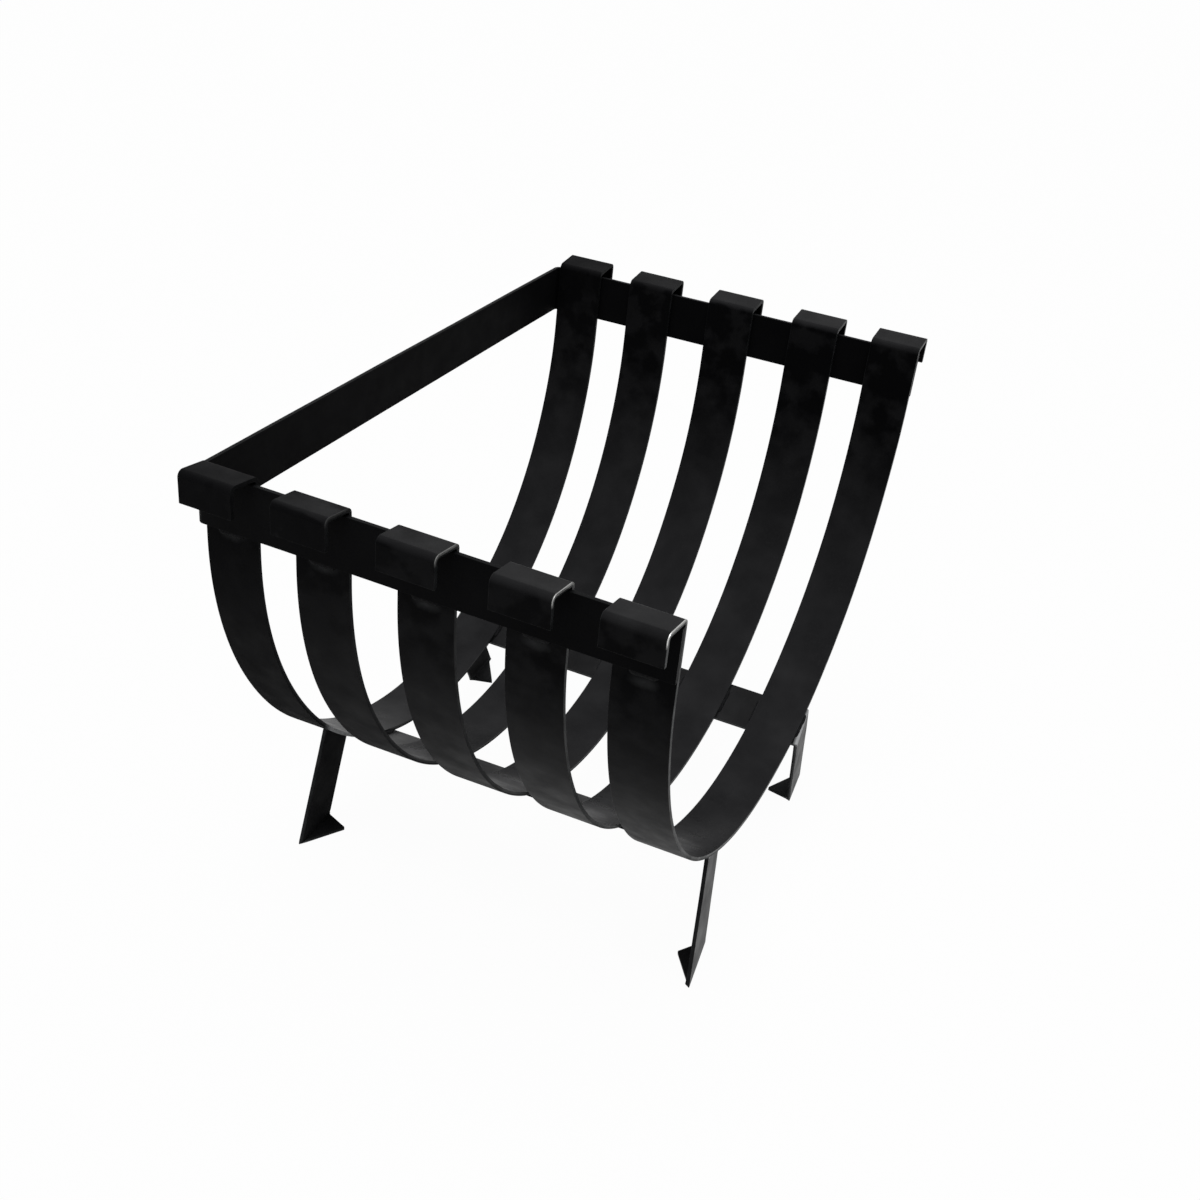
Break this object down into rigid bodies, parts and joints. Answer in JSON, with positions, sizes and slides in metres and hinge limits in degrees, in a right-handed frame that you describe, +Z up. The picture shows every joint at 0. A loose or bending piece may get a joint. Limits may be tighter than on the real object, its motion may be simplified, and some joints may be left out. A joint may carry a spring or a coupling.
{
  "type": "log holder",
  "caption": "Cradle-shaped firewood holder of bent flat bar: hooked straps hang inside a three-sided top frame on splayed legs, open at one end.",
  "frame": {"origin": "on the ground, under the centre of the bounding box", "axes": "+X along the rails, from the closed end with the side bar to the open end; +Y from the front rail to the rear rail; +Z up"},
  "size_m": [0.337, 0.534, 0.3857],
  "materials": {
    "black_bar": "satin black heat-resistant paint on rolled steel flat bar",
    "black_weld": "the same satin black paint over rough weld beads"
  },
  "bodies": {
    "root": {"strap_1": "black_bar", "strap_2": "black_bar", "strap_3": "black_bar", "strap_4": "black_bar", "strap_5": "black_bar", "top_frame": "black_bar", "front_leg_frame": "black_bar", "rear_leg_frame": "black_bar", "front_rail_welds": "black_weld", "rear_rail_welds": "black_weld", "front_leg_welds": "black_weld", "rear_leg_welds": "black_weld"}
  },
  "joints": []
}
